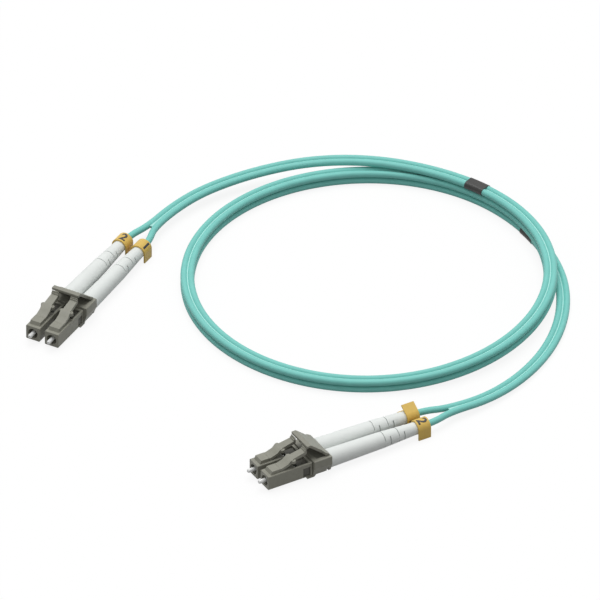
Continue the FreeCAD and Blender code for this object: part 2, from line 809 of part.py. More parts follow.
def bend(before, corner, after):
    """Where the arc at a corner starts, its middle and end, and its radius."""
    into = corner - before
    out = after - corner
    half_turn = into.getAngle(out) / 2
    reach = ARC_SHARE * min(into.Length, out.Length)
    radius = reach / math.tan(half_turn)
    start = corner - into.normalize() * reach
    stop = corner + out.normalize() * reach
    inward = (start + stop) * 0.5 - corner
    inward.normalize()
    middle = corner + inward * (radius / math.cos(half_turn) - radius)
    return start, middle, stop, radius


def tube(points, radius, bore=0.0, first=None, last=None):
    """A round tube of straight runs and tangent arcs. A cut at first or last is at the
    middle of the run that starts at that corner."""
    low = 0 if first is None else first
    high = len(points) - 1 if last is None else last
    here = points[0] if first is None else (points[first] + points[first + 1]) * 0.5
    finish = points[-1] if last is None else (points[last] + points[last + 1]) * 0.5
    corners = range(low + 1, high + (1 if last is not None else 0))
    edges = []
    radii = []
    begin = Vector(here)
    for k in corners:
        start, middle, stop, bend_radius = bend(points[k - 1], points[k], points[k + 1])
        edges.append(Part.LineSegment(here, start).toShape())
        edges.append(Part.Arc(start, middle, stop).toShape())
        radii.append(bend_radius)
        here = stop
    edges.append(Part.LineSegment(here, finish).toShape())
    path = Part.Wire(edges)
    direction = edges[0].tangentAt(edges[0].FirstParameter)
    rings = [Part.Wire(Part.Circle(begin, direction, radius).toShape())]
    if bore:
        rings.append(Part.Wire(Part.Circle(begin, direction, bore).toShape()))
    section = Part.Face(rings[0])
    if bore:
        section = section.cut(Part.Face(rings[1])).Faces[0]
    solid = path.makePipe(section)
    wanted = math.pi * (radius ** 2 - bore ** 2) * path.Length
    return solid, path.Length, min(radii), solid.Volume / wanted


def add_shape(label, shape):
    piece = doc.addObject("Part::Feature", label)
    piece.Label = label
    piece.Shape = shape
    piece.Placement = Placement()
    subparts.append(piece)


def make_cord(first, last):
    """Both legs of the cord: jacket in three lengths, yarn and buffered fibre in one."""
    for number, side in ((1, 1), (2, -1)):
        points = leg_points(side, size("jacket_start"))
        total = 0.0
        spans = (("lead_a", None, first), ("coil", first, last), ("lead_b", last, None))
        for name, start, stop in spans:
            label = "jacket_%d_%s" % (number, name)
            solid, length, tightest, share = tube(
                points, size("jacket_radius"), size("jacket_bore_radius"), start, stop)
            print("%s length %.1f tightest %.1f volume share %.5f"
                  % (label, length, tightest, share))
            add_shape(label, solid)
            total += length
        print("leg %d jacket length %.1f" % (number, total))
        for kind, start, radius, bore in (
                ("aramid_yarn", "yarn_start", "yarn_radius", "yarn_bore_radius"),
                ("buffered_fibre", "fibre_start", "fibre_radius", None)):
            points = leg_points(side, size(start))
            solid, length, tightest, share = tube(
                points, size(radius), size(bore) if bore else 0.0)
            label = "%s_%d" % (kind, number)
            print("%s length %.1f volume share %.5f" % (label, length, share))
            add_shape(label, solid)


def make_band(label, spot, direction):
    """A flat sleeve round both legs, with its middle at a spot of the pair's route."""
    body = new_body(label)
    for name, kind, reach in (("skin", "Pad", "jacket_radius + band_gap + band_wall"),
                              ("hollow", "Pocket", "jacket_radius + band_gap")):
        flat = new_sketch(body, name + "_middle", "XZ_Plane")
        add_box(flat, "-leg_pitch / 2", "leg_pitch / 2", "-(%s)" % reach, reach)
        extrude(body, flat, name + "_flat", "band_length", kind, both=True)
        for side in ("", "-"):
            flat = new_sketch(body, name + "_round" + side.replace("-", "_far"), "XZ_Plane")
            add_circle(flat, side + "leg_pitch / 2", "0", reach)
            extrude(body, flat, name + "_end" + side.replace("-", "_far"), "band_length",
                    kind, both=True)
    body.Placement = Placement(spot, Rotation(Vector(0, 1, 0), direction))


def check_and_write():
    doc.recompute()
    for item in doc.Objects:
        if "Invalid" in item.State or "Error" in item.State:
            raise RuntimeError("%s failed: %s" % (item.Name, item.State))
    os.makedirs("parts", exist_ok=True)
    box = FreeCAD.BoundBox()
    for piece in subparts:
        shape = piece.Shape
        if shape.isNull() or not shape.isValid() or not shape.Solids:
            raise RuntimeError("%s has no sound shape" % piece.Label)
        shape.exportStep("parts/%s.step" % piece.Label)
        if not piece.Label.startswith(("jacket", "aramid", "buffered", "band")):
            box.add(shape.optimalBoundingBox())
    print("%d parts, connectors span %s" % (len(subparts), box))


fill_sheet()
for end_name in CHANNELS:
    make_connector(end_name)
route, coil_first, coil_last = pair_points()
# A leg has one corner more than the pair before the coil: the end of its boot
make_cord(coil_first + 1, coil_last)
start, middle, stop, radius = bend(*route[coil_first - 1:coil_first + 2])
chord = (stop - start).normalize()
make_band("band_one", middle + chord * size("band_one_on"), chord)
start, stop = route[coil_last:coil_last + 2]
make_band("band_two", (start + stop) * 0.5, stop - start)
check_and_write()
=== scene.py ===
import json
import math

import bmesh
import bpy
from mathutils import Matrix, Vector


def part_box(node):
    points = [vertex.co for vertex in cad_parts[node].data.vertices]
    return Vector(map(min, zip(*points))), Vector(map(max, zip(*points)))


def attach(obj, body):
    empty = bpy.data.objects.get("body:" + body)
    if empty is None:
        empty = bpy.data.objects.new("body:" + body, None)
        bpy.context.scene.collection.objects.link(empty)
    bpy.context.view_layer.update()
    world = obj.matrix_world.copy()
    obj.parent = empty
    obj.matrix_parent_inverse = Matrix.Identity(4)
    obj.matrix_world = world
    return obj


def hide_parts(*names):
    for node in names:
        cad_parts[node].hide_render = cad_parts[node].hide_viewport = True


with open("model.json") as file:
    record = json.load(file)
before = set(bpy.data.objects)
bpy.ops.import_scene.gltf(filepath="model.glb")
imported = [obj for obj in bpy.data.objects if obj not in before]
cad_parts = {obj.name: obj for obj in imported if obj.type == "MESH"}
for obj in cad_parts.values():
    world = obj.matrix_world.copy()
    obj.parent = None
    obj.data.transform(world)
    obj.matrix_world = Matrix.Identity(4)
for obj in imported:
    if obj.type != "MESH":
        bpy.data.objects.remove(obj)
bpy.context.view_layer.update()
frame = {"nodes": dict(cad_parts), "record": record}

bl_info = {
    "name": "Duplex Fibre Patch Cord",
    "version": (1, 0, 0),
    "blender": (4, 5, 0),
    "location": "3D View > Sidebar > Patch Cord",
    "description": "Dresses a duplex fibre patch cord: jackets, boots, plugs, clips and stage",
    "category": "Object",
}

MOUNTS = {mount["name"]: mount for mount in frame["record"]["mounts"]}
CHANNELS = ("a_1", "a_2", "b_1", "b_2")
ENDS = ("a", "b")
UP = Vector((0.0, 0.0, 1.0))

# The route midway between the two legs, in metres: across, along and up
LEAD_A = [
    (-0.0630, 0.0375, 0.00303),
    (-0.0652, 0.0495, 0.00315),
    (-0.0650, 0.0620, 0.00345),
    (-0.0604, 0.0776, 0.00410),
    (-0.0518, 0.0922, 0.00520),
    (-0.0398, 0.1043, 0.00550),
    (-0.0250, 0.1128, 0.00545),
]
LEAD_B = [
    (0.0244, 0.1131, 0.00113),
    (0.0393, 0.1049, 0.00113),
    (0.0515, 0.0928, 0.00115),
    (0.0603, 0.0782, 0.00120),
    (0.0650, 0.0625, 0.00135),
    (0.0659, 0.0472, 0.00190),
    (0.0629, 0.0339, 0.00275),
]
COIL_CENTRE = (-0.0003, 0.0647)
COIL_RADIUS = 0.05284
COIL_TURNS = 2
POINTS_PER_TURN = 20
LOWEST_COIL = 0.00113
COIL_LEVEL = 0.00214
STEP_DOWN = (45.0, 150.0)

# Places along a connector, back from the front face of its plugs
JACKET_START = 0.0246
BOOT_STRAIGHT = 0.0499
BOOT_END = 0.0537
SPLIT = 0.0570

# Bands; the corner is a share of half the band's height
BAND_LENGTH = 0.0065
BAND_WALL = 0.0001
BAND_GAP = 0.00003
BAND_CORNER = 0.96

# Which side of its connector each leg comes out of, towards +X at connector A
LEGS = {1: 1, 2: -1}

# The boot's outline, along and radius
BOOT_OUTLINE = [(0.02095, 0.00278), (0.0390, 0.00244), (0.0487, 0.00195), (0.05015, 0.0019),
                (0.0537, 0.0019)]
BOOT_FRONT = 0.02075
BOOT_CHAMFER = 0.0002
BOOT_LIP = 0.00012
BOOT_ROOM = (0.0273, 0.00186)
BOOT_ROOM_TAPER = 0.0008
BOOT_BORE = (0.0273, 0.00106)
BOOT_RING_STEP = 0.002
BOOT_RING_COUNT = 8
SLIT_START = 0.0392
SLIT_PITCH = 0.00185
SLIT_PAIR_PITCH = 0.00475
SLIT_WIDTHS = (0.0002, 0.0003)
SLIT_FLOOR = 0.00146
SLIT_COUNT = 4
SLIT_ARCS = (150, 90)
SLIT_ROUND = 0.00004

# Degrees between the boot's corners, and either side of where a slit ends
BOOT_ANGLE_STEP = 5
SLIT_END_STEP = 0.6

# Where the number sits on each marker clip: along, and degrees round from the top
DIGIT_ALONG = 0.0523
DIGIT_TURNS = {"a_1": 44.0, "a_2": 10.0, "b_1": 96.0, "b_2": 14.0}
DIGIT_WEIGHT = 0.028
DIGIT_EDGE = 0.0002
DIGIT_CUTS = 3

# A marker clip's edges are rounded by this share of the other edges' rounding
MARKER_EDGE_SHARE = 0.7

# How far the underside of the trigger's bar is lowered at its front
BAR_DROP = 0.00018
BAR_HEIGHT = 0.00064

# How finely curves and round sections are divided
CURVE_STEPS = 10
JACKET_STEPS = 8
WEB_SIDES = 16
CORNER_STEPS = 10

# Angles at which faces are joined, edges are rounded and shading breaks
FLAT_ANGLE = math.radians(0.6)
ROUNDED_ANGLE = math.radians(35.0)
SHARP_ANGLE = math.radians(40.0)
SAME_SPOT = 2e-7

# Stage: floor, the light's softness and lean, and a long lens from far away
FLOOR_HALF = 20.0
FLOOR_HEIGHT = -2e-5
KEY_SOFTNESS = math.radians(50.0)
KEY_LEAN = (math.radians(-8.0), math.radians(-12.0), 0.0)
LENS = 1440.0
SENSOR_WIDTH = 36.0
CLIP_RANGE = (0.1, 100.0)


class PatchCordSizes(bpy.types.PropertyGroup):
    """Sizes that a user would change."""

    jacket_radius: bpy.props.FloatProperty(
        name="Jacket radius", description="Outer radius of one leg of the cord",
        default=0.001, min=0.0005, max=0.002, subtype="DISTANCE", unit="LENGTH", precision=5)
    leg_pitch: bpy.props.FloatProperty(
        name="Leg pitch", description="Distance between the middles of the two legs",
        default=0.00206, min=0.001, max=0.004, subtype="DISTANCE", unit="LENGTH", precision=5)
    web_width: bpy.props.FloatProperty(
        name="Web width", description="Width of the web that joins the legs",
        default=0.0015, min=0.0002, max=0.002, subtype="DISTANCE", unit="LENGTH", precision=5)
    web_thickness: bpy.props.FloatProperty(
        name="Web thickness", description="Thickness of the web that joins the legs",
        default=0.00095, min=0.0001, max=0.0015, subtype="DISTANCE", unit="LENGTH", precision=5)
    edge_round: bpy.props.FloatProperty(
        name="Edge rounding", description="Width of the rounding on moulded edges",
        default=0.0001, min=0.00002, max=0.0003, subtype="DISTANCE", unit="LENGTH", precision=5)
    marker_radius: bpy.props.FloatProperty(
        name="Marker radius", description="Outer radius of a marker clip's ring",
        default=0.00245, min=0.002, max=0.004, subtype="DISTANCE", unit="LENGTH", precision=5)
    digit_height: bpy.props.FloatProperty(
        name="Digit height", description="Height of the number on a marker clip",
        default=0.0031, min=0.001, max=0.004, subtype="DISTANCE", unit="LENGTH", precision=5)
    digit_relief: bpy.props.FloatProperty(
        name="Digit relief", description="How far the printed number stands off the clip",
        default=0.00003, min=0.00001, max=0.0002, subtype="DISTANCE", unit="LENGTH",
        precision=5)


def colour_property(name, description, default):
    return bpy.props.FloatVectorProperty(
        name=name, description=description, default=default, size=3, min=0.0, max=1.0,
        subtype="COLOR")


class PatchCordColours(bpy.types.PropertyGroup):
    """Colours of the cord's finishes."""

    jacket: colour_property("Jacket", "Aqua of the jacket", (0.205, 0.600, 0.545))
    plug: colour_property("Plug", "Grey-beige of plugs and latches", (0.272, 0.270, 0.226))
    clip: colour_property("Clip", "Grey-beige of clip and trigger", (0.262, 0.260, 0.218))
    # Body inside the plug: its dark grey is painted shade, standing for the shade that falls
    # inside the plug
    rear_painted_shade: colour_property("Rear body", "Grey of the body inside the plug", (0.10, 0.098, 0.084))
    boot: colour_property("Boot", "White of the boots", (0.77, 0.80, 0.78))
    marker: colour_property("Marker clip", "Yellow of the number clips", (0.73, 0.50, 0.125))
    ink: colour_property("Number", "Ink of the numbers", (0.018, 0.019, 0.022))
    band: colour_property("Band", "Black of the bands", (0.028, 0.028, 0.026))
    ceramic: colour_property("Ferrule", "White of the ceramic ferrules", (0.83, 0.84, 0.83))
    yarn: colour_property("Yarn", "Yellow of the aramid yarn", (0.80, 0.62, 0.16))
    buffer: colour_property("Buffer", "Aqua of the buffered fibre", (0.12, 0.52, 0.56))


class PatchCordStage(bpy.types.PropertyGroup):
    """Camera, light and floor."""

    azimuth: bpy.props.FloatProperty(
        name="Azimuth", description="Direction the camera looks from, round the cord",
        default=math.radians(45.0), subtype="ANGLE", unit="ROTATION")
    elevation: bpy.props.FloatProperty(
        name="Elevation", description="Height of the camera above the horizon",
        default=math.radians(35.264), subtype="ANGLE", unit="ROTATION")
    target: bpy.props.FloatVectorProperty(
        name="Target", description="Point at the middle of the picture",
        default=(-0.00847, 0.0445, 0.00075), subtype="TRANSLATION", unit="LENGTH")
    view_width: bpy.props.FloatProperty(
        name="View width", description="Width that the picture shows at the target",
        default=0.17448, min=0.01, max=1.0, subtype="DISTANCE", unit="LENGTH")
    key_strength: bpy.props.FloatProperty(
        name="Key light", description="Strength of the light from above",
        default=2.0, min=0.0, max=10.0)
    sky_strength: bpy.props.FloatProperty(
        name="Sky light", description="Strength of the even light from all round",
        default=0.42, min=0.0, max=2.0)
    shadow_share: bpy.props.FloatProperty(
        name="Shadow share", description="How much of the floor's shadow shows",
        default=0.12, min=0.0, max=1.0, subtype="FACTOR")


def settings():
    scene = bpy.context.scene
    return scene.patch_cord_sizes, scene.patch_cord_colours, scene.patch_cord_stage


# Frames and routes


def channel_matrix(tag):
    """The place of one channel: X across, Y back from the plug's front face, Z up."""
    mount = MOUNTS["plug_nose_" + tag]
    back = -Vector(mount["axis"])
    across = back.cross(UP)
    matrix = Matrix((across, back, UP)).transposed().to_4x4()
    matrix.translation = Vector(mount["pos_m"])
    return matrix


def end_matrix(end):
    """The place of one connector, midway between its two channels."""
    matrix = channel_matrix(end + "_1")
    matrix.translation = (matrix.translation + channel_matrix(end + "_2").translation) / 2
    return matrix


def half_pitch(end):
    gap = channel_matrix(end + "_1").translation - channel_matrix(end + "_2").translation
    return gap.length / 2


def coil_height(travel):
    height = LOWEST_COIL + COIL_TURNS * COIL_LEVEL
    low, high = STEP_DOWN
    for turn in range(COIL_TURNS):
        share = min(max((travel - 360.0 * turn - low) / (high - low), 0.0), 1.0)
        height -= COIL_LEVEL * (1 - math.cos(math.pi * share)) / 2
    return height


def coil_points():
    """Control points of the two turns; they start half a step before the back."""
    step = 360.0 / POINTS_PER_TURN
    reach = COIL_RADIUS / math.cos(math.radians(step / 2))
    points = []
    for k in range(COIL_TURNS * POINTS_PER_TURN + 2):
        travel = (k - 0.5) * step
        angle = math.radians(90.0 - travel)
        points.append(Vector((COIL_CENTRE[0] + reach * math.cos(angle),
                              COIL_CENTRE[1] + reach * math.sin(angle),
                              coil_height(travel))))
    return points


def pair_points():
    """The route midway between the legs, from one split to the other."""
    split = Vector((0.0, SPLIT, 0.0))
    leads = [Vector(point) for point in LEAD_A], [Vector(point) for point in LEAD_B]
    return [end_matrix("a") @ split, *leads[0], *coil_points(), *leads[1],
            end_matrix("b") @ split]


def leg_points(side, pitch):
    """The route of one leg: inside boot A, along the pair, and inside boot B."""
    middle = pair_points()
    boot = (JACKET_START, BOOT_STRAIGHT, SPLIT)
    place = end_matrix("a")
    reach = side * half_pitch("a")
    points = [place @ Vector((reach, along, 0.0)) for along in boot]
    for before, corner, after in zip(middle, middle[1:], middle[2:]):
        into = (corner - before).to_2d().normalized()
        out = (after - corner).to_2d().normalized()
        normal = into + out
        offset = side * pitch / normal.length
        normal.normalize()
        points.append(corner + Vector((normal.y, -normal.x, 0.0)) * offset)
    place = end_matrix("b")
    points += [place @ Vector((-reach, along, 0.0)) for along in reversed(boot)]
    return points


def nurbs_curve(name, points):
    """A smooth open curve with these control points."""
    curve = bpy.data.curves.new(name, "CURVE")
    curve.dimensions = "3D"
    spline = curve.splines.new("NURBS")
    spline.points.add(len(points) - 1)
    for target, point in zip(spline.points, points):
        target.co = (*point, 1.0)
    spline.order_u = 3
    spline.use_endpoint_u = True
    spline.resolution_u = CURVE_STEPS
    curve.resolution_u = CURVE_STEPS
    piece = bpy.data.objects.new(name, curve)
    bpy.context.scene.collection.objects.link(piece)
    return piece


# Meshes


def link_mesh(name, mesh):
    piece = bpy.data.objects.new(name, mesh)
    bpy.context.scene.collection.objects.link(piece)
    return piece


def evaluated_mesh(piece, name):
    """The finished mesh of an object with its modifiers or nodes worked in."""
    bpy.context.view_layer.update()
    graph = bpy.context.evaluated_depsgraph_get()
    mesh = bpy.data.meshes.new_from_object(piece.evaluated_get(graph), depsgraph=graph)
    mesh.name = name
    return mesh


def mesh_of_curve(piece, name):
    """The finished mesh of a curve or text, which is removed."""
    mesh = evaluated_mesh(piece, name)
    curve = piece.data
    bpy.data.objects.remove(piece)
    bpy.data.curves.remove(curve)
    return mesh


def soft_copy(node_name, name, width, segments=3):
    """A copy of a CAD node with its facets joined and its edges rounded."""
    node = frame["nodes"][node_name]
    mesh = node.data.copy()
    mesh.name = name
    mesh.materials.clear()
    shape = bmesh.new()
    shape.from_mesh(mesh)
    bmesh.ops.remove_doubles(shape, verts=shape.verts, dist=SAME_SPOT)
    bmesh.ops.dissolve_limit(shape, angle_limit=FLAT_ANGLE, verts=shape.verts,
                             edges=shape.edges)
    shape.to_mesh(mesh)
    shape.free()
    piece = link_mesh(name, mesh)
    bevel = piece.modifiers.new("edges", "BEVEL")
    bevel.width = width
    bevel.segments = segments
    bevel.limit_method = "ANGLE"
    bevel.angle_limit = ROUNDED_ANGLE
    bevel.use_clamp_overlap = False
    piece.modifiers.new("normals", "WEIGHTED_NORMAL")
    for polygon in mesh.polygons:
        polygon.use_smooth = True
    mesh = evaluated_mesh(piece, name)
    piece.modifiers.clear()
    piece.data = mesh
    return piece


def lathe(name, rings, angles, matrix):
    """A closed shape turned about the Y axis. Each ring gives its place along the axis
    and a function from angle to radius."""
    shape = bmesh.new()
    rows = []
    for along, radius in rings:
        row = []
        for angle in angles:
            reach = radius(angle)
            spot = Vector((reach * math.sin(math.radians(angle)), along,
                           reach * math.cos(math.radians(angle))))
            row.append(shape.verts.new(matrix @ spot))
        rows.append(row)
    count = len(angles)
    for row, following in zip(rows, rows[1:] + rows[:1]):
        for k in range(count):
            after = (k + 1) % count
            shape.faces.new((row[k], row[after], following[after], following[k]))
    bmesh.ops.recalc_face_normals(shape, faces=shape.faces)
    mesh = bpy.data.meshes.new(name)
    shape.to_mesh(mesh)
    shape.free()
    for polygon in mesh.polygons:
        polygon.use_smooth = True
    mesh.set_sharp_from_angle(angle=SHARP_ANGLE)
    return link_mesh(name, mesh)


# Materials


def shader_tree(name):
    material = bpy.data.materials.new(name)
    material.use_nodes = True
    tree = material.node_tree
    return material, tree, tree.nodes["Principled BSDF"]


def object_noise(tree, period, detail=3.0, stretch=(1.0, 1.0, 1.0), roughness=0.55):
    """A noise whose grains are about one period across, in metres."""
    place = tree.nodes.new("ShaderNodeTexCoord")
    mapping = tree.nodes.new("ShaderNodeMapping")
    mapping.inputs["Scale"].default_value = stretch
    noise = tree.nodes.new("ShaderNodeTexNoise")
    noise.inputs["Scale"].default_value = 1.0 / period
    noise.inputs["Detail"].default_value = detail
    noise.inputs["Roughness"].default_value = roughness
    tree.links.new(place.outputs["Object"], mapping.inputs["Vector"])
    tree.links.new(mapping.outputs["Vector"], noise.inputs["Vector"])
    return noise


def vary_colour(tree, shader, colour, period, amount, stretch=(1.0, 1.0, 1.0)):
    """The base colour, a little darker and lighter from place to place."""
    noise = object_noise(tree, period, stretch=stretch)
    ramp = tree.nodes.new("ShaderNodeValToRGB")
    low, high = ramp.color_ramp.elements
    low.position = 0.3
    high.position = 0.7
    low.color = (*(part * (1.0 - amount) for part in colour), 1.0)
    high.color = (*(min(part * (1.0 + amount), 1.0) for part in colour), 1.0)
    tree.links.new(noise.outputs["Fac"], ramp.inputs["Fac"])
    tree.links.new(ramp.outputs["Color"], shader.inputs["Base Color"])


def vary_roughness(tree, shader, period, low, high):
    noise = object_noise(tree, period)
    spread = tree.nodes.new("ShaderNodeMapRange")
    spread.inputs["From Min"].default_value = 0.3
    spread.inputs["From Max"].default_value = 0.7
    spread.inputs["To Min"].default_value = low
    spread.inputs["To Max"].default_value = high
    tree.links.new(noise.outputs["Fac"], spread.inputs["Value"])
    tree.links.new(spread.outputs["Result"], shader.inputs["Roughness"])


def add_grain(tree, shader, period, depth, strength=0.5, stretch=(1.0, 1.0, 1.0), edge=0.0):
    """Fine relief: a bump of this depth in metres, over edges softened by a radius."""
    noise = object_noise(tree, period, detail=4.0, stretch=stretch)
    bump = tree.nodes.new("ShaderNodeBump")
    bump.inputs["Strength"].default_value = strength
    bump.inputs["Distance"].default_value = depth
    if edge:
        soft = tree.nodes.new("ShaderNodeBevel")
        soft.samples = 8
        soft.inputs["Radius"].default_value = edge
        tree.links.new(soft.outputs["Normal"], bump.inputs["Normal"])
    tree.links.new(noise.outputs["Fac"], bump.inputs["Height"])
    tree.links.new(bump.outputs["Normal"], shader.inputs["Normal"])


def moulded_plastic(name, colour, roughness=0.42, amount=0.05, edge=0.0):
    """Satin moulded plastic with a fine spark-eroded grain."""
    material, tree, shader = shader_tree(name)
    vary_colour(tree, shader, colour, 0.0012, amount)
    vary_roughness(tree, shader, 0.0006, roughness - 0.06, roughness + 0.08)
    add_grain(tree, shader, 0.00009, 0.000005, edge=edge)
    shader.inputs["Specular IOR Level"].default_value = 0.25
    return material


def jacket_skin(name, colour):
    """Satin extruded jacket with faint mottling."""
    material, tree, shader = shader_tree(name)
    vary_colour(tree, shader, colour, 0.003, 0.03)
    vary_roughness(tree, shader, 0.0015, 0.42, 0.52)
    add_grain(tree, shader, 0.0002, 0.000003, 0.3)
    shader.inputs["Specular IOR Level"].default_value = 0.25
    return material


def soft_rubber(name, colour):
    """Matt white elastomer with a fine grain."""
    material, tree, shader = shader_tree(name)
    vary_colour(tree, shader, colour, 0.004, 0.025)
    vary_roughness(tree, shader, 0.001, 0.46, 0.6)
    add_grain(tree, shader, 0.00012, 0.000008, 0.45)
    shader.inputs["Specular IOR Level"].default_value = 0.35
    return material


def polished_ceramic(name, colour):
    material, tree, shader = shader_tree(name)
    vary_colour(tree, shader, colour, 0.0008, 0.02)
    vary_roughness(tree, shader, 0.0004, 0.12, 0.2)
    add_grain(tree, shader, 0.00005, 0.000001, 0.3)
    shader.inputs["Coat Weight"].default_value = 0.3
    shader.inputs["Coat Roughness"].default_value = 0.08
    return material


def metal(name, colour, roughness, stretch):
    """Turned or drawn metal with fine lines across the stretch."""
    material, tree, shader = shader_tree(name)
    vary_colour(tree, shader, colour, 0.0007, 0.06)
    vary_roughness(tree, shader, 0.0003, roughness - 0.05, roughness + 0.1)
    add_grain(tree, shader, 0.00012, 0.000003, 0.4, stretch)
    shader.inputs["Metallic"].default_value = 1.0
    return material


def black_sleeve(name, colour):
    """Black shrink sleeve with a dull shine."""
    material, tree, shader = shader_tree(name)
    vary_colour(tree, shader, colour, 0.0008, 0.12)
    vary_roughness(tree, shader, 0.0005, 0.34, 0.46)
    add_grain(tree, shader, 0.0001, 0.000004, 0.4)
    shader.inputs["Specular IOR Level"].default_value = 0.4
    return material


def twisted_yarn(name, colour):
    """Loose yellow yarn: fine threads along the cord."""
    material, tree, shader = shader_tree(name)
    vary_colour(tree, shader, colour, 0.0002, 0.18)
    vary_roughness(tree, shader, 0.0003, 0.55, 0.75)
    add_grain(tree, shader, 0.00007, 0.00002, 0.7)
    shader.inputs["Sheen Weight"].default_value = 0.3
    return material


def clear_glass(name):
    material, tree, shader = shader_tree(name)
    vary_roughness(tree, shader, 0.0002, 0.02, 0.05)
    shader.inputs["Base Color"].default_value = (0.9, 0.95, 1.0, 1.0)
    shader.inputs["Transmission Weight"].default_value = 0.9
    shader.inputs["IOR"].default_value = 1.46
    return material


def printed_ink(name, colour):
    material, tree, shader = shader_tree(name)
    vary_colour(tree, shader, colour, 0.0003, 0.2)
    vary_roughness(tree, shader, 0.0003, 0.4, 0.55)
    return material


def dress(piece, material):
    """Give the piece this one material."""
    slots = piece.data.materials
    if len(slots) == 0:
        slots.append(material)
    for index in range(len(slots)):
        slots[index] = material


def dress_nodes(kind, tags, material):
    for tag in tags:
        dress(frame["nodes"]["%s_%s" % (kind, tag)], material)


# Node trees


def ribbon_tree(material):
    """A node group that sweeps a flat oval section along a curve."""
    tree = bpy.data.node_groups.new("Ribbon Along Cord", "GeometryNodeTree")
    face = tree.interface
    face.new_socket("Geometry", in_out="INPUT", socket_type="NodeSocketGeometry")
    width = face.new_socket("Width", in_out="INPUT", socket_type="NodeSocketFloat")
    thickness = face.new_socket("Thickness", in_out="INPUT", socket_type="NodeSocketFloat")
    sides = face.new_socket("Sides", in_out="INPUT", socket_type="NodeSocketInt")
    face.new_socket("Geometry", in_out="OUTPUT", socket_type="NodeSocketGeometry")
    start = tree.nodes.new("NodeGroupInput")
    section = tree.nodes.new("GeometryNodeCurvePrimitiveCircle")
    section.inputs["Radius"].default_value = 0.5
    oval = tree.nodes.new("ShaderNodeCombineXYZ")
    oval.inputs["Z"].default_value = 1.0
    shape = tree.nodes.new("GeometryNodeTransform")
    upright = tree.nodes.new("GeometryNodeSetCurveNormal")
    upright.mode = "Z_UP"
    sweep = tree.nodes.new("GeometryNodeCurveToMesh")
    sweep.inputs["Fill Caps"].default_value = True
    smooth = tree.nodes.new("GeometryNodeSetShadeSmooth")
    real = tree.nodes.new("GeometryNodeRealizeInstances")
    finish = tree.nodes.new("GeometryNodeSetMaterial")
    finish.inputs["Material"].default_value = material
    end = tree.nodes.new("NodeGroupOutput")
    link = tree.links.new
    link(start.outputs["Sides"], section.inputs["Resolution"])
    link(start.outputs["Width"], oval.inputs["X"])
    link(start.outputs["Thickness"], oval.inputs["Y"])
    link(section.outputs["Curve"], shape.inputs["Geometry"])
    link(oval.outputs["Vector"], shape.inputs["Scale"])
    link(start.outputs["Geometry"], upright.inputs["Curve"])
    link(upright.outputs["Curve"], sweep.inputs["Curve"])
    link(shape.outputs["Geometry"], sweep.inputs["Profile Curve"])
    link(sweep.outputs["Mesh"], smooth.inputs["Geometry"])
    link(smooth.outputs["Geometry"], real.inputs["Geometry"])
    link(real.outputs["Geometry"], finish.inputs["Geometry"])
    link(finish.outputs["Geometry"], end.inputs["Geometry"])
    return tree, width.identifier, thickness.identifier, sides.identifier


def sleeve_tree(material):
    """A node group that sweeps a rounded box section along a curve, open at its ends."""
    tree = bpy.data.node_groups.new("Sleeve Along Cord", "GeometryNodeTree")
    face = tree.interface
    face.new_socket("Geometry", in_out="INPUT", socket_type="NodeSocketGeometry")
    width = face.new_socket("Width", in_out="INPUT", socket_type="NodeSocketFloat")
    height = face.new_socket("Height", in_out="INPUT", socket_type="NodeSocketFloat")
    corner = face.new_socket("Corner Radius", in_out="INPUT", socket_type="NodeSocketFloat")
    face.new_socket("Geometry", in_out="OUTPUT", socket_type="NodeSocketGeometry")
    start = tree.nodes.new("NodeGroupInput")
    section = tree.nodes.new("GeometryNodeCurvePrimitiveQuadrilateral")
    rounded = tree.nodes.new("GeometryNodeFilletCurve")
    upright = tree.nodes.new("GeometryNodeSetCurveNormal")
    upright.mode = "Z_UP"
    sweep = tree.nodes.new("GeometryNodeCurveToMesh")
    smooth = tree.nodes.new("GeometryNodeSetShadeSmooth")
    real = tree.nodes.new("GeometryNodeRealizeInstances")
    finish = tree.nodes.new("GeometryNodeSetMaterial")
    finish.inputs["Material"].default_value = material
    end = tree.nodes.new("NodeGroupOutput")
    rounded.mode = "POLY"
    rounded.inputs["Count"].default_value = CORNER_STEPS
    link = tree.links.new
    link(start.outputs["Width"], section.inputs["Width"])
    link(start.outputs["Height"], section.inputs["Height"])
    link(section.outputs["Curve"], rounded.inputs["Curve"])
    link(start.outputs["Corner Radius"], rounded.inputs["Radius"])
    link(start.outputs["Geometry"], upright.inputs["Curve"])
    link(upright.outputs["Curve"], sweep.inputs["Curve"])
    link(rounded.outputs["Curve"], sweep.inputs["Profile Curve"])
    link(sweep.outputs["Mesh"], smooth.inputs["Geometry"])
    link(smooth.outputs["Geometry"], real.inputs["Geometry"])
    link(real.outputs["Geometry"], finish.inputs["Geometry"])
    link(finish.outputs["Geometry"], end.inputs["Geometry"])
    return tree, width.identifier, height.identifier, corner.identifier


# Operators


class PATCHCORD_OT_cords(bpy.types.Operator):
    """The two jacketed legs, from inside the boots of one connector to the other"""

    bl_idname = "patchcord.cords"
    bl_label = "Jackets"

    def execute(self, context):
        sizes, colours, _ = settings()
        skin = jacket_skin("jacket_aqua", colours.jacket)
        for number, side in LEGS.items():
            name = "jacket_%d" % number
            points = leg_points(side, sizes.leg_pitch)
            piece = nurbs_curve(name, points)
            piece.data.bevel_depth = sizes.jacket_radius
            piece.data.bevel_resolution = JACKET_STEPS
            piece.data.use_fill_caps = True
            dress(piece, skin)
            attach(piece, "root")
            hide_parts(name + "_lead_a", name + "_coil", name + "_lead_b")
            leaves = end_matrix("a") @ Vector((side * half_pitch("a"), BOOT_END, 0.0))
            leg_length(points)
        return {"FINISHED"}


def spline_spots(points):
    """Places along the smooth curve that these control points give."""
    mesh = mesh_of_curve(nurbs_curve("trial", points), "trial")
    spots = [vertex.co.copy() for vertex in mesh.vertices]
    bpy.data.meshes.remove(mesh)
    return spots


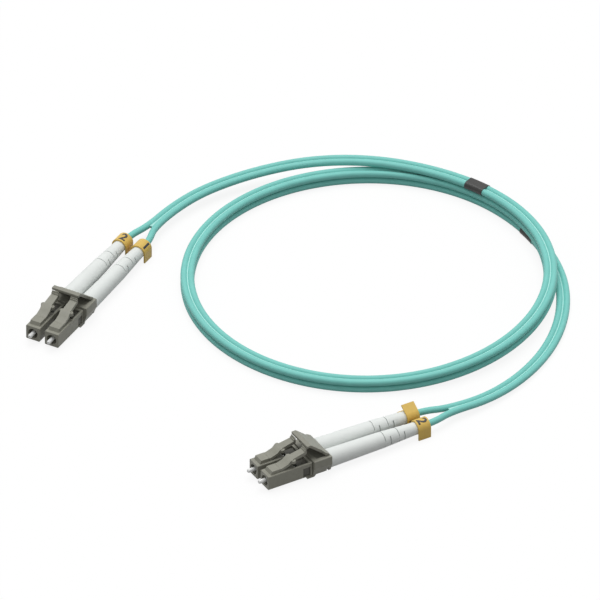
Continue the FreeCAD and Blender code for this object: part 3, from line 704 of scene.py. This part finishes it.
def leg_length(points):
    spots = spline_spots(points)
    return sum((after - before).length for before, after in zip(spots, spots[1:]))


class PATCHCORD_OT_web(bpy.types.Operator):
    """The thin web that joins the two legs where they run as a pair"""

    bl_idname = "patchcord.web"
    bl_label = "Web"

    def execute(self, context):
        sizes, _, _ = settings()
        skin = bpy.data.materials["jacket_aqua"]
        route = nurbs_curve("web_route", pair_points()[1:-1])
        tree, width, thickness, sides = ribbon_tree(skin)
        nodes = route.modifiers.new("ribbon", "NODES")
        nodes.node_group = tree
        nodes[width] = sizes.web_width
        nodes[thickness] = sizes.web_thickness
        nodes[sides] = WEB_SIDES
        piece = link_mesh("jacket_web", mesh_of_curve(route, "jacket_web"))
        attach(piece, "root")
        return {"FINISHED"}


def span_of(spots, middle, length, count=13):
    """Places evenly along the part of a route that lies about a spot."""
    travel = [0.0]
    for before, after in zip(spots, spots[1:]):
        travel.append(travel[-1] + (after - before).length)
    nearest = min(range(len(spots)), key=lambda k: (spots[k] - middle).length)
    ahead = (middle - spots[nearest]).dot((spots[nearest + 1] - spots[nearest]).normalized())
    places = []
    for k in range(count):
        goal = travel[nearest] + ahead + length * (k / (count - 1) - 0.5)
        leg = next(n for n in range(1, len(travel)) if travel[n] >= goal)
        share = (goal - travel[leg - 1]) / (travel[leg] - travel[leg - 1])
        places.append(spots[leg - 1].lerp(spots[leg], share))
    return places


class PATCHCORD_OT_bands(bpy.types.Operator):
    """The two black sleeves round the pair"""

    bl_idname = "patchcord.bands"
    bl_label = "Bands"

    def execute(self, context):
        sizes, colours, _ = settings()
        finish = black_sleeve("band_black", colours.band)
        reach = sizes.jacket_radius + BAND_GAP + BAND_WALL
        tree, width, height, corner = sleeve_tree(finish)
        spots = spline_spots(pair_points())
        for name in ("band_one", "band_two"):
            low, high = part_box(name)
            middle = (Vector(low) + Vector(high)) / 2
            route = nurbs_curve("sleeve_route", span_of(spots, middle, BAND_LENGTH))
            nodes = route.modifiers.new("sleeve", "NODES")
            nodes.node_group = tree
            nodes[width] = sizes.leg_pitch + 2 * reach
            nodes[height] = 2 * reach
            nodes[corner] = reach * BAND_CORNER
            piece = link_mesh("sleeve_" + name, mesh_of_curve(route, "sleeve_" + name))
            wall = piece.modifiers.new("wall", "SOLIDIFY")
            wall.thickness = BAND_WALL
            wall.offset = -1.0
            piece.data = evaluated_mesh(piece, "sleeve_" + name)
            piece.modifiers.clear()
            piece.data.set_sharp_from_angle(angle=SHARP_ANGLE)
            dress(piece, finish)
            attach(piece, "root")
            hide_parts(name)
        return {"FINISHED"}


class PATCHCORD_OT_plugs(bpy.types.Operator):
    """The four plug bodies, with the bodies inside them that show in their windows, in a dark
    grey that is painted shade
    """

    bl_idname = "patchcord.plugs"
    bl_label = "Plugs"

    def execute(self, context):
        sizes, colours, _ = settings()
        finish = moulded_plastic("plug_plastic", colours.plug, edge=sizes.edge_round)
        # The bodies inside the plugs get a dark grey that is painted shade, for the shade that
        # the trigger and clip cast inside the plugs
        rear_painted_shade = moulded_plastic("rear_plastic", colours.rear_painted_shade, 0.5)
        dress_nodes("plug_housing", CHANNELS, finish)
        dress_nodes("rear_body", CHANNELS, rear_painted_shade)
        return {"FINISHED"}


class PATCHCORD_OT_latches(bpy.types.Operator):
    """The four latch levers"""

    bl_idname = "patchcord.latches"
    bl_label = "Latches"

    def execute(self, context):
        sizes, colours, _ = settings()
        finish = moulded_plastic("latch_plastic", colours.plug, 0.4)
        for tag in CHANNELS:
            piece = soft_copy("latch_lever_" + tag, "latch_" + tag, sizes.edge_round)
            dress(piece, finish)
            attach(piece, "latch_" + tag)
            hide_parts("latch_lever_" + tag)
        return {"FINISHED"}


def hang_bar(mesh, place):
    """Lower the underside of the trigger's bar, at its front, towards the latch lips."""
    back = place.inverted()
    spots = [back @ vertex.co for vertex in mesh.vertices]
    front = min(spot.y for spot in spots)
    middle = max(spot.z for spot in spots) - BAR_HEIGHT / 2
    for vertex, spot in zip(mesh.vertices, spots):
        if spot.y < front + BAR_HEIGHT and spot.z < middle:
            vertex.co.z -= BAR_DROP


class PATCHCORD_OT_clips(bpy.types.Operator):
    """The clips that join each pair of plugs, and their triggers"""

    bl_idname = "patchcord.clips"
    bl_label = "Clips and triggers"

    def execute(self, context):
        sizes, colours, _ = settings()
        clip = moulded_plastic("clip_plastic", colours.clip, edge=sizes.edge_round)
        trigger = moulded_plastic("trigger_plastic", colours.clip, 0.4)
        dress_nodes("duplex_clip", ENDS, clip)
        for end in ENDS:
            node = "trigger_" + end
            piece = soft_copy(node, node + "_shell", sizes.edge_round)
            hang_bar(piece.data, end_matrix(end))
            dress(piece, trigger)
            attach(piece, node)
            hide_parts(node)
        return {"FINISHED"}


def boot_radius(along):
    """Outer radius of the boot at a place along it."""
    for (near, first), (far, second) in zip(BOOT_OUTLINE, BOOT_OUTLINE[1:]):
        if near <= along <= far:
            return first + (second - first) * (along - near) / (far - near)
    return BOOT_OUTLINE[0][1]


def boot_rings():
    """The boot's rings: out along its skin, with the slits, and back through its bore."""

    def plain(along, radius):
        return along, lambda angle: radius

    def slit_ring(along, turn, inside, outside):
        """A ring cut on both sides of the boot: above and below, or left and right."""
        def radius(angle):
            away = abs((angle - 90.0 * turn + 90.0) % 180.0 - 90.0)
            return inside if away < SLIT_ARCS[turn] / 2 else outside
        return along, radius

    rings = [plain(BOOT_FRONT, BOOT_OUTLINE[0][1] - BOOT_CHAMFER)]
    stops = [along for along, _ in BOOT_OUTLINE[:-1]]
    stops += [SLIT_START - BOOT_RING_STEP * k for k in range(1, BOOT_RING_COUNT + 1)]
    skin = [plain(along, boot_radius(along)) for along in stops]
    for k in range(SLIT_COUNT):
        pair, turn = divmod(k, 2)
        middle = SLIT_START + pair * SLIT_PAIR_PITCH + turn * SLIT_PITCH
        near = middle - SLIT_WIDTHS[turn] / 2
        far = middle + SLIT_WIDTHS[turn] / 2
        for along, sink in ((near - SLIT_ROUND, 0.0), (near, SLIT_ROUND),
                            (far, SLIT_ROUND), (far + SLIT_ROUND, 0.0)):
            outside = boot_radius(along)
            skin.append(slit_ring(along, turn, outside - sink, outside))
        for along in (near + SLIT_ROUND / 5, far - SLIT_ROUND / 5):
            skin.append(slit_ring(along, turn, SLIT_FLOOR, boot_radius(along)))
    rings += sorted(skin, key=lambda ring: ring[0])
    end_radius = BOOT_OUTLINE[-1][1]
    for degrees in (0, 30, 60, 90):
        turn = math.radians(degrees)
        rings.append(plain(BOOT_END - BOOT_LIP * (1 - math.sin(turn)),
                           end_radius - BOOT_LIP * (1 - math.cos(turn))))
    rings += [plain(BOOT_END, BOOT_BORE[1] + BOOT_LIP / 2),
              plain(BOOT_END - BOOT_LIP / 2, BOOT_BORE[1]),
              plain(*BOOT_BORE),
              plain(BOOT_ROOM[0] - BOOT_ROOM_TAPER, BOOT_ROOM[1]),
              plain(BOOT_FRONT, BOOT_ROOM[1])]
    return rings


def boot_angles():
    """Angles round the boot, doubled where a slit ends."""
    ends = {(90 * turn + half + side * SLIT_ARCS[turn] // 2) % 360
            for turn in (0, 1) for half in (0, 180) for side in (-1, 1)}
    angles = []
    for angle in range(0, 360, BOOT_ANGLE_STEP):
        if angle in ends:
            angles += [angle - SLIT_END_STEP, angle + SLIT_END_STEP]
        else:
            angles.append(float(angle))
    return angles


class PATCHCORD_OT_boots(bpy.types.Operator):
    """The four tapered boots with their staggered slits"""

    bl_idname = "patchcord.boots"
    bl_label = "Boots"

    def execute(self, context):
        _, colours, _ = settings()
        finish = soft_rubber("boot_rubber", colours.boot)
        rings = boot_rings()
        angles = boot_angles()
        for tag in CHANNELS:
            piece = lathe("boot_skin_" + tag, rings, angles, channel_matrix(tag))
            dress(piece, finish)
            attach(piece, "root")
            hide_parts("boot_" + tag)
        return {"FINISHED"}


def bent_digit(name, text, height, relief, radius, turn, matrix):
    """A number wrapped round a ring, its top towards the cord."""
    words = bpy.data.curves.new(name, "FONT")
    words.body = text
    words.align_x = "CENTER"
    words.align_y = "CENTER"
    words.offset = DIGIT_WEIGHT
    words.resolution_u = 6
    mesh = mesh_of_curve(link_mesh(name + "_flat", words), name)
    shape = bmesh.new()
    shape.from_mesh(mesh)
    bmesh.ops.triangulate(shape, faces=shape.faces)
    tops = [vertex.co.y for vertex in shape.verts]
    sides = [vertex.co.x for vertex in shape.verts]
    scale = height / (max(tops) - min(tops))
    middle = Vector(((max(sides) + min(sides)) / 2, (max(tops) + min(tops)) / 2, 0.0))
    for _ in range(DIGIT_CUTS):
        long_edges = [edge for edge in shape.edges
                      if edge.calc_length() * scale > DIGIT_EDGE]
        bmesh.ops.subdivide_edges(shape, edges=long_edges, cuts=1)
        bmesh.ops.triangulate(shape, faces=shape.faces)
    for vertex in shape.verts:
        flat = (vertex.co - middle) * scale
        angle = math.radians(turn) + flat.x / radius
        reach = radius + relief
        vertex.co = matrix @ Vector((reach * math.sin(angle), DIGIT_ALONG + flat.y,
                                     reach * math.cos(angle)))
    shape.to_mesh(mesh)
    shape.free()
    piece = link_mesh(name, mesh)
    solid = piece.modifiers.new("relief", "SOLIDIFY")
    solid.thickness = 2 * relief
    solid.offset = -1.0
    final = evaluated_mesh(piece, name)
    piece.modifiers.clear()
    piece.data = final
    return piece


class PATCHCORD_OT_markers(bpy.types.Operator):
    """The four number clips and their numbers"""

    bl_idname = "patchcord.markers"
    bl_label = "Marker clips"

    def execute(self, context):
        sizes, colours, _ = settings()
        finish = moulded_plastic("marker_plastic", colours.marker, 0.38, 0.03)
        ink = printed_ink("number_ink", colours.ink)
        for tag in CHANNELS:
            body = "marker_" + tag
            piece = soft_copy("marker_clip_" + tag, "marker_shell_" + tag,
                              sizes.edge_round * MARKER_EDGE_SHARE)
            dress(piece, finish)
            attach(piece, body)
            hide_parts("marker_clip_" + tag)
            digit = bent_digit("number_" + tag, tag[-1], sizes.digit_height,
                               sizes.digit_relief, sizes.marker_radius, DIGIT_TURNS[tag],
                               channel_matrix(tag))
            dress(digit, ink)
            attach(digit, body)
        return {"FINISHED"}


class PATCHCORD_OT_inner_parts(bpy.types.Operator):
    """Finishes of the ferrules and of what is inside the plugs, boots and jackets"""

    bl_idname = "patchcord.inner_parts"
    bl_label = "Ferrules and inner parts"

    def execute(self, context):
        _, colours, _ = settings()
        along = (1.0, 0.1, 1.0)
        finishes = {
            "ferrule": polished_ceramic("ceramic", colours.ceramic),
            "ferrule_holder": metal("holder_metal", (0.62, 0.61, 0.58), 0.25, along),
            "glass_fibre": clear_glass("glass"),
            "ferrule_spring": metal("spring_steel", (0.50, 0.50, 0.51), 0.3, along),
            "crimp_ring": metal("crimp_metal", (0.72, 0.60, 0.34), 0.3, along),
        }
        for kind, material in finishes.items():
            dress_nodes(kind, CHANNELS, material)
        dress_nodes("aramid_yarn", ("1", "2"), twisted_yarn("aramid", colours.yarn))
        dress_nodes("buffered_fibre", ("1", "2"),
                    moulded_plastic("buffer", colours.buffer, 0.35))
        return {"FINISHED"}


def backdrop_switch(tree):
    """One where a camera, glossy or transmission ray looks, and nought for the rest."""
    path = tree.nodes.new("ShaderNodeLightPath")
    first = tree.nodes.new("ShaderNodeMath")
    second = tree.nodes.new("ShaderNodeMath")
    for node in (first, second):
        node.operation = "MAXIMUM"
    tree.links.new(path.outputs["Is Camera Ray"], first.inputs[0])
    tree.links.new(path.outputs["Is Glossy Ray"], first.inputs[1])
    tree.links.new(first.outputs["Value"], second.inputs[0])
    tree.links.new(path.outputs["Is Transmission Ray"], second.inputs[1])
    return second.outputs["Value"]


def make_world(sky_strength):
    world = bpy.data.worlds.new("studio")
    bpy.context.scene.world = world
    world.use_nodes = True
    tree = world.node_tree
    sky = tree.nodes["Background"]
    sky.inputs["Color"].default_value = (1.0, 1.0, 1.0, 1.0)
    sky.inputs["Strength"].default_value = sky_strength
    white = tree.nodes.new("ShaderNodeBackground")
    white.inputs["Color"].default_value = (1.0, 1.0, 1.0, 1.0)
    white.inputs["Strength"].default_value = 1.0
    mix = tree.nodes.new("ShaderNodeMixShader")
    tree.links.new(backdrop_switch(tree), mix.inputs["Fac"])
    tree.links.new(sky.outputs["Background"], mix.inputs[1])
    tree.links.new(white.outputs["Background"], mix.inputs[2])
    tree.links.new(mix.outputs["Shader"], tree.nodes["World Output"].inputs["Surface"])


def floor_material(shadow_share):
    """Pale to the camera, with a share of the shadow, and a quiet grey to other light."""
    material, tree, shader = shader_tree("pale_floor")
    shader.inputs["Base Color"].default_value = (0.3, 0.3, 0.3, 1.0)
    shader.inputs["Roughness"].default_value = 0.9
    shader.inputs["Specular IOR Level"].default_value = 0.0
    matt = tree.nodes.new("ShaderNodeBsdfDiffuse")
    matt.inputs["Color"].default_value = (0.97, 0.97, 0.97, 1.0)
    white = tree.nodes.new("ShaderNodeEmission")
    white.inputs["Strength"].default_value = 1.0
    seen = tree.nodes.new("ShaderNodeMixShader")
    seen.inputs["Fac"].default_value = shadow_share
    tree.links.new(white.outputs["Emission"], seen.inputs[1])
    tree.links.new(matt.outputs["BSDF"], seen.inputs[2])
    whole = tree.nodes.new("ShaderNodeMixShader")
    tree.links.new(backdrop_switch(tree), whole.inputs["Fac"])
    tree.links.new(shader.outputs["BSDF"], whole.inputs[1])
    tree.links.new(seen.outputs["Shader"], whole.inputs[2])
    tree.links.new(whole.outputs["Shader"],
                   tree.nodes["Material Output"].inputs["Surface"])
    return material


class PATCHCORD_OT_stage(bpy.types.Operator):
    """Camera, pale floor and soft light"""

    bl_idname = "patchcord.stage"
    bl_label = "Stage"

    def execute(self, context):
        _, _, stage = settings()
        scene = context.scene
        scene.view_settings.view_transform = "Standard"
        make_world(stage.sky_strength)
        mesh = bpy.data.meshes.new("floor")
        corners = [(across * FLOOR_HALF, along * FLOOR_HALF, FLOOR_HEIGHT)
                   for across, along in ((-1, -1), (1, -1), (1, 1), (-1, 1))]
        mesh.from_pydata(corners, [], [(0, 1, 2, 3)])
        floor = link_mesh("floor", mesh)
        dress(floor, floor_material(stage.shadow_share))
        lamp = bpy.data.lights.new("key", "SUN")
        lamp.energy = stage.key_strength
        lamp.angle = KEY_SOFTNESS
        key = bpy.data.objects.new("key", lamp)
        key.rotation_euler = KEY_LEAN
        scene.collection.objects.link(key)
        camera = bpy.data.cameras.new("camera")
        camera.lens = LENS
        camera.sensor_width = SENSOR_WIDTH
        turn, rise = stage.azimuth, stage.elevation
        back = Vector((math.sin(turn) * math.cos(rise), -math.cos(turn) * math.cos(rise),
                       math.sin(rise)))
        distance = stage.view_width * camera.lens / camera.sensor_width
        eye = bpy.data.objects.new("camera", camera)
        eye.location = Vector(stage.target) + back * distance
        eye.rotation_mode = "QUATERNION"
        eye.rotation_quaternion = (-back).to_track_quat("-Z", "Y")
        camera.clip_start, camera.clip_end = CLIP_RANGE
        scene.collection.objects.link(eye)
        scene.camera = eye
        return {"FINISHED"}


class PATCHCORD_PT_panel(bpy.types.Panel):
    """The cord's sizes, colours and steps"""

    bl_label = "Patch Cord"
    bl_idname = "PATCHCORD_PT_panel"
    bl_space_type = "VIEW_3D"
    bl_region_type = "UI"
    bl_category = "Patch Cord"

    def draw(self, context):
        layout = self.layout
        for group in settings():
            box = layout.box()
            for name in group.__annotations__:
                box.prop(group, name)
        for step in STEPS:
            layout.operator(step.bl_idname)


GROUPS = (PatchCordSizes, PatchCordColours, PatchCordStage)
STEPS = (
    PATCHCORD_OT_stage,
    PATCHCORD_OT_cords,
    PATCHCORD_OT_web,
    PATCHCORD_OT_bands,
    PATCHCORD_OT_plugs,
    PATCHCORD_OT_latches,
    PATCHCORD_OT_clips,
    PATCHCORD_OT_boots,
    PATCHCORD_OT_markers,
    PATCHCORD_OT_inner_parts,
)
CLASSES = (*GROUPS, *STEPS, PATCHCORD_PT_panel)


def register():
    for item in CLASSES:
        bpy.utils.register_class(item)
    scene = bpy.types.Scene
    scene.patch_cord_sizes = bpy.props.PointerProperty(type=PatchCordSizes)
    scene.patch_cord_colours = bpy.props.PointerProperty(type=PatchCordColours)
    scene.patch_cord_stage = bpy.props.PointerProperty(type=PatchCordStage)


def unregister():
    scene = bpy.types.Scene
    del scene.patch_cord_sizes
    del scene.patch_cord_colours
    del scene.patch_cord_stage
    for item in reversed(CLASSES):
        bpy.utils.unregister_class(item)


def main():
    register()
    for step in STEPS:
        family, action = step.bl_idname.split(".")
        getattr(getattr(bpy.ops, family), action)()


if __name__ == "__main__":
    main()
